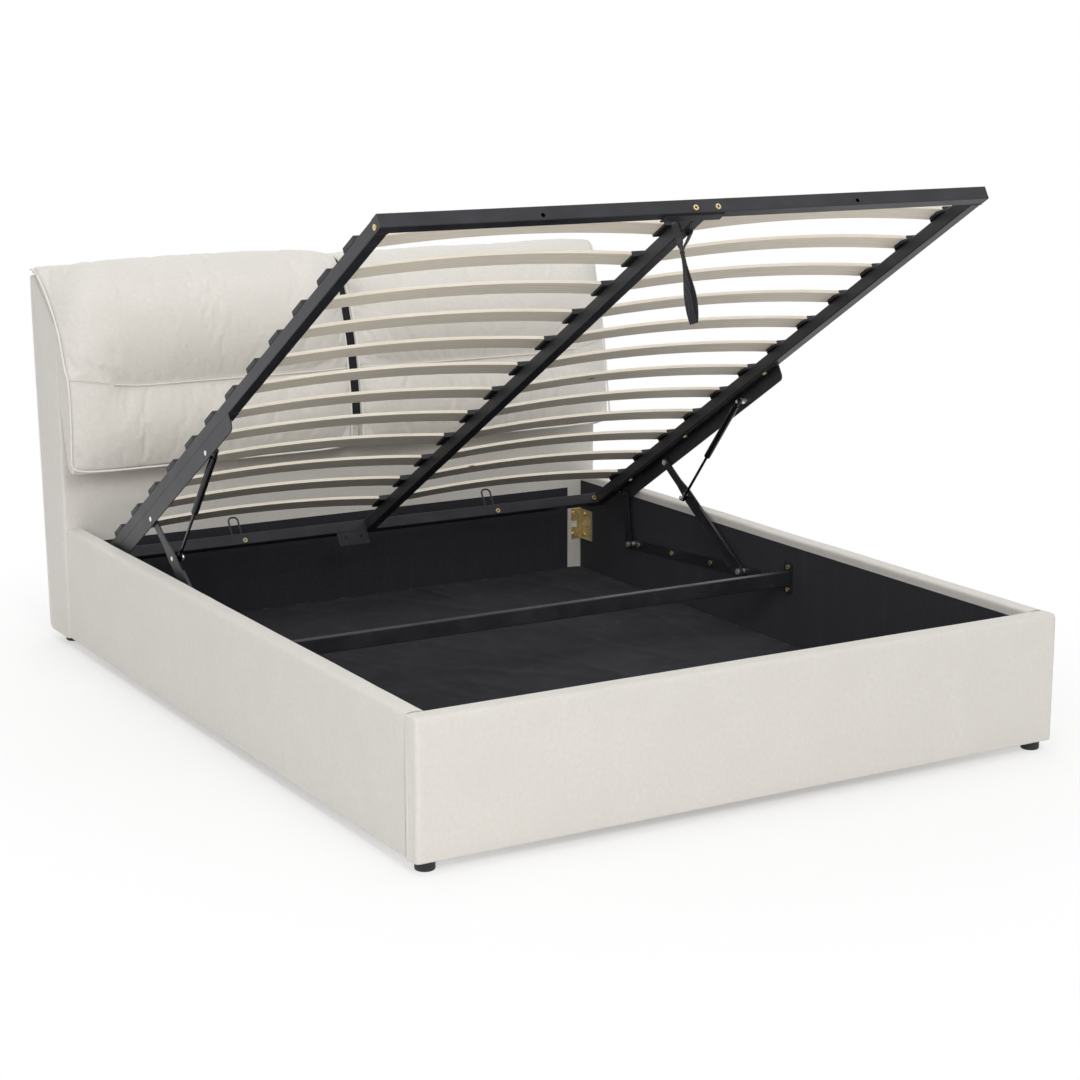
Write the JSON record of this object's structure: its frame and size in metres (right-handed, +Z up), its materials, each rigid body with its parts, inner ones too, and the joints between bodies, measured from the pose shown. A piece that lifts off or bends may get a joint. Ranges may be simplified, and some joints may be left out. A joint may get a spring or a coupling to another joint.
{
  "type": "storage bed",
  "caption": "Upholstered storage bed with a raked headboard, two padded headboard cushions and a slatted lid that lifts on gas struts over a lined storage box.",
  "frame": {"origin": "middle of the footprint, on the floor", "axes": "+Z up, +Y towards the headboard, +X the right side seen from the foot end"},
  "size_m": [1.7, 2.2742, 1.3112],
  "materials": {
    "upholstery": "cream woven fabric over foam, matt",
    "lining": "black non-woven lining, matt",
    "board": "plain board, unfinished",
    "black_steel": "black powder coat, satin",
    "strut_black": "black paint, semi-gloss",
    "rod_steel": "polished dark rod",
    "slat_wood": "pale birch, clear sealed",
    "black_plastic": "moulded, fine grain",
    "yellow_zinc": "yellow zinc plate",
    "bright_zinc": "bright zinc plate",
    "webbing": "black woven webbing"
  },
  "bodies": {
    "base": {"side_cover_left": "upholstery", "side_board_left": "board", "side_lining_left": "lining", "floor_board_left": "board", "headboard_cushion_left": "upholstery", "base_bar_left": "black_steel", "side_cover_right": "upholstery", "side_board_right": "board", "side_lining_right": "lining", "floor_board_right": "board", "headboard_cushion_right": "upholstery", "base_bar_right": "black_steel", "footboard_cover": "upholstery", "headboard_cover": "upholstery", "footboard_board": "board", "centre_bearer": "board", "floor_battens": "board", "headboard_panel": "board", "headboard_stiles": "board", "headboard_rungs": "board", "footboard_lining": "lining", "floor_lining": "lining", "headboard_lining": "lining", "gap_strip": "lining", "feet": "black_plastic", "bearer_pads": "black_plastic", "corner_brackets_head": "yellow_zinc", "corner_brackets_foot": "yellow_zinc", "crossbar": "black_steel", "crossbar_plates": "black_steel", "corner_bracket_bolts": "yellow_zinc", "base_bar_bolts": "yellow_zinc", "base_pins": "bright_zinc"},
    "front_arms": {"front_arm_left": "black_steel", "front_arm_right": "black_steel"},
    "rear_links": {"rear_link_left": "black_steel", "rear_link_right": "black_steel"},
    "lid": {"foot_rail": "black_steel", "head_rail": "black_steel", "lid_rail_left": "black_steel", "lid_rail_right": "black_steel", "spine": "black_steel", "joint_plates": "black_steel", "slats_left": "slat_wood", "slats_right": "slat_wood", "slat_holders_left": "black_plastic", "slat_holders_right": "black_plastic", "spine_slat_holders": "black_plastic", "mattress_retainers": "black_steel", "lift_bracket_left": "black_steel", "lift_bracket_right": "black_steel", "lid_pins": "bright_zinc", "lid_bolts": "yellow_zinc", "strap_loop": "webbing"},
    "gas_cylinders": {"gas_cylinder_left": "strut_black", "gas_cylinder_right": "strut_black"},
    "gas_rods": {"gas_rod_left": "rod_steel", "gas_rod_right": "rod_steel"},
    "pull_strap": {"pull_strap": "webbing"}
  },
  "joints": [
    {"name": "lift", "type": "hinge", "parent": "base", "child": "front_arms", "pos_m": [0, 0.063, 0.1985], "axis": [1, 0, 0], "range_deg": [-27.9, 0], "stiffness_Nm_per_rad": 200, "springref_deg": 126.05},
    {"name": "rear_link_pivot", "type": "hinge", "parent": "base", "child": "rear_links", "pos_m": [0, 0.6295, 0.1675], "axis": [1, 0, 0], "range_deg": [-51.89, 0]},
    {"name": "lid_pivot", "type": "hinge", "parent": "front_arms", "child": "lid", "pos_m": [0, 0.43715, 0.44577], "axis": [1, 0, 0], "range_deg": [0, 59.12]},
    {"name": "strut_pivot", "type": "hinge", "parent": "lid", "child": "gas_cylinders", "pos_m": [0, 0.0548, 0.67733], "axis": [1, 0, 0], "range_deg": [0, 16.31]},
    {"name": "strut_slide", "type": "slide", "parent": "gas_cylinders", "child": "gas_rods", "axis": [0, 0.64, -0.7684], "range_m": [-0.10494, 0]},
    {"name": "strap_swing", "type": "hinge", "parent": "lid", "child": "pull_strap", "pos_m": [-0.02, -0.83418, 1.19198], "axis": [1, 0, 0], "range_deg": [-12.56, 0]}
  ],
  "couplings": [
    {"joint": "rear_link_pivot", "follows": "lift", "ratio": 1.8594},
    {"joint": "lid_pivot", "follows": "lift", "ratio": -2.1181},
    {"joint": "strut_pivot", "follows": "lift", "ratio": -0.58454},
    {"joint": "strut_slide", "follows": "lift", "m_per_rad": 0.21544},
    {"joint": "strap_swing", "follows": "lift", "ratio": 0.45}
  ]
}
